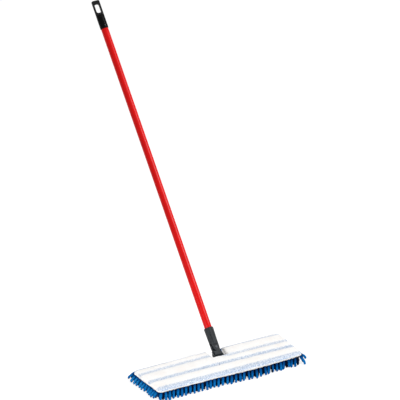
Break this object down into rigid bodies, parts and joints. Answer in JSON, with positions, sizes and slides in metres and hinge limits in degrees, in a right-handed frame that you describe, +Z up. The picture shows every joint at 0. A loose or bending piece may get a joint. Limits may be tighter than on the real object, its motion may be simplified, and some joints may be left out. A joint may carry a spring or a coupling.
{
  "type": "flat mop",
  "caption": "Flat mop with a straight handle on a joint that tilts sideways and turns over, and a wide padded head with a striped terry cover and a chenille strand side.",
  "frame": {"origin": "on the floor, in the handle's plane, halfway across the head's width", "axes": "+X along the head, +Y towards the rear edge that the handle joins, +Z up"},
  "size_m": [0.506, 0.8639, 0.8637],
  "materials": {
    "cap_plastic": "satin moulded black",
    "charcoal_plastic": "satin moulded charcoal",
    "board_plastic": "plain moulded grey",
    "red_paint": "smooth gloss red",
    "steel": "plain",
    "dark_steel": "blackened steel",
    "nylon": "natural nylon",
    "terry": "looped white terry with pale blue stripes",
    "wadding": "felted wadding",
    "navy_cloth": "woven navy cloth",
    "chenille": "shaggy blue chenille strands"
  },
  "bodies": {
    "handle": {"hang_cap": "cap_plastic", "cap_rivet": "dark_steel", "handle_tube": "red_paint", "threaded_tip": "nylon", "handle_socket": "charcoal_plastic", "swivel_pin": "dark_steel", "swivel_pin_clip": "dark_steel"},
    "yoke": {"yoke": "charcoal_plastic", "swivel_bush": "nylon", "swivel_washer_front": "nylon", "swivel_washer_back": "nylon"},
    "head": {"flip_pin": "dark_steel", "flip_pin_clip": "dark_steel", "flip_bush_left": "nylon", "flip_bush_right": "nylon", "clevis_bracket": "charcoal_plastic", "bracket_screw_1": "steel", "bracket_screw_2": "steel", "bracket_screw_3": "steel", "bracket_screw_4": "steel", "frame_board": "board_plastic", "upper_wadding": "wadding", "lower_wadding": "wadding", "terry_cover": "terry", "edge_binding": "navy_cloth", "backing_cloth": "navy_cloth", "chenille_left": "chenille", "chenille_centre": "chenille", "chenille_right": "chenille"}
  },
  "joints": [
    {"name": "side_swivel", "type": "hinge", "parent": "handle", "child": "yoke", "pos_m": [0, 0.05912, 0.04022], "axis": [0, -0.7542, 0.6567], "range_deg": [-60, 60]},
    {"name": "flip_hinge", "type": "hinge", "parent": "yoke", "child": "head", "pos_m": [0, 0.045, 0.024], "axis": [1, 0, 0], "range_deg": [-51, 149]}
  ]
}
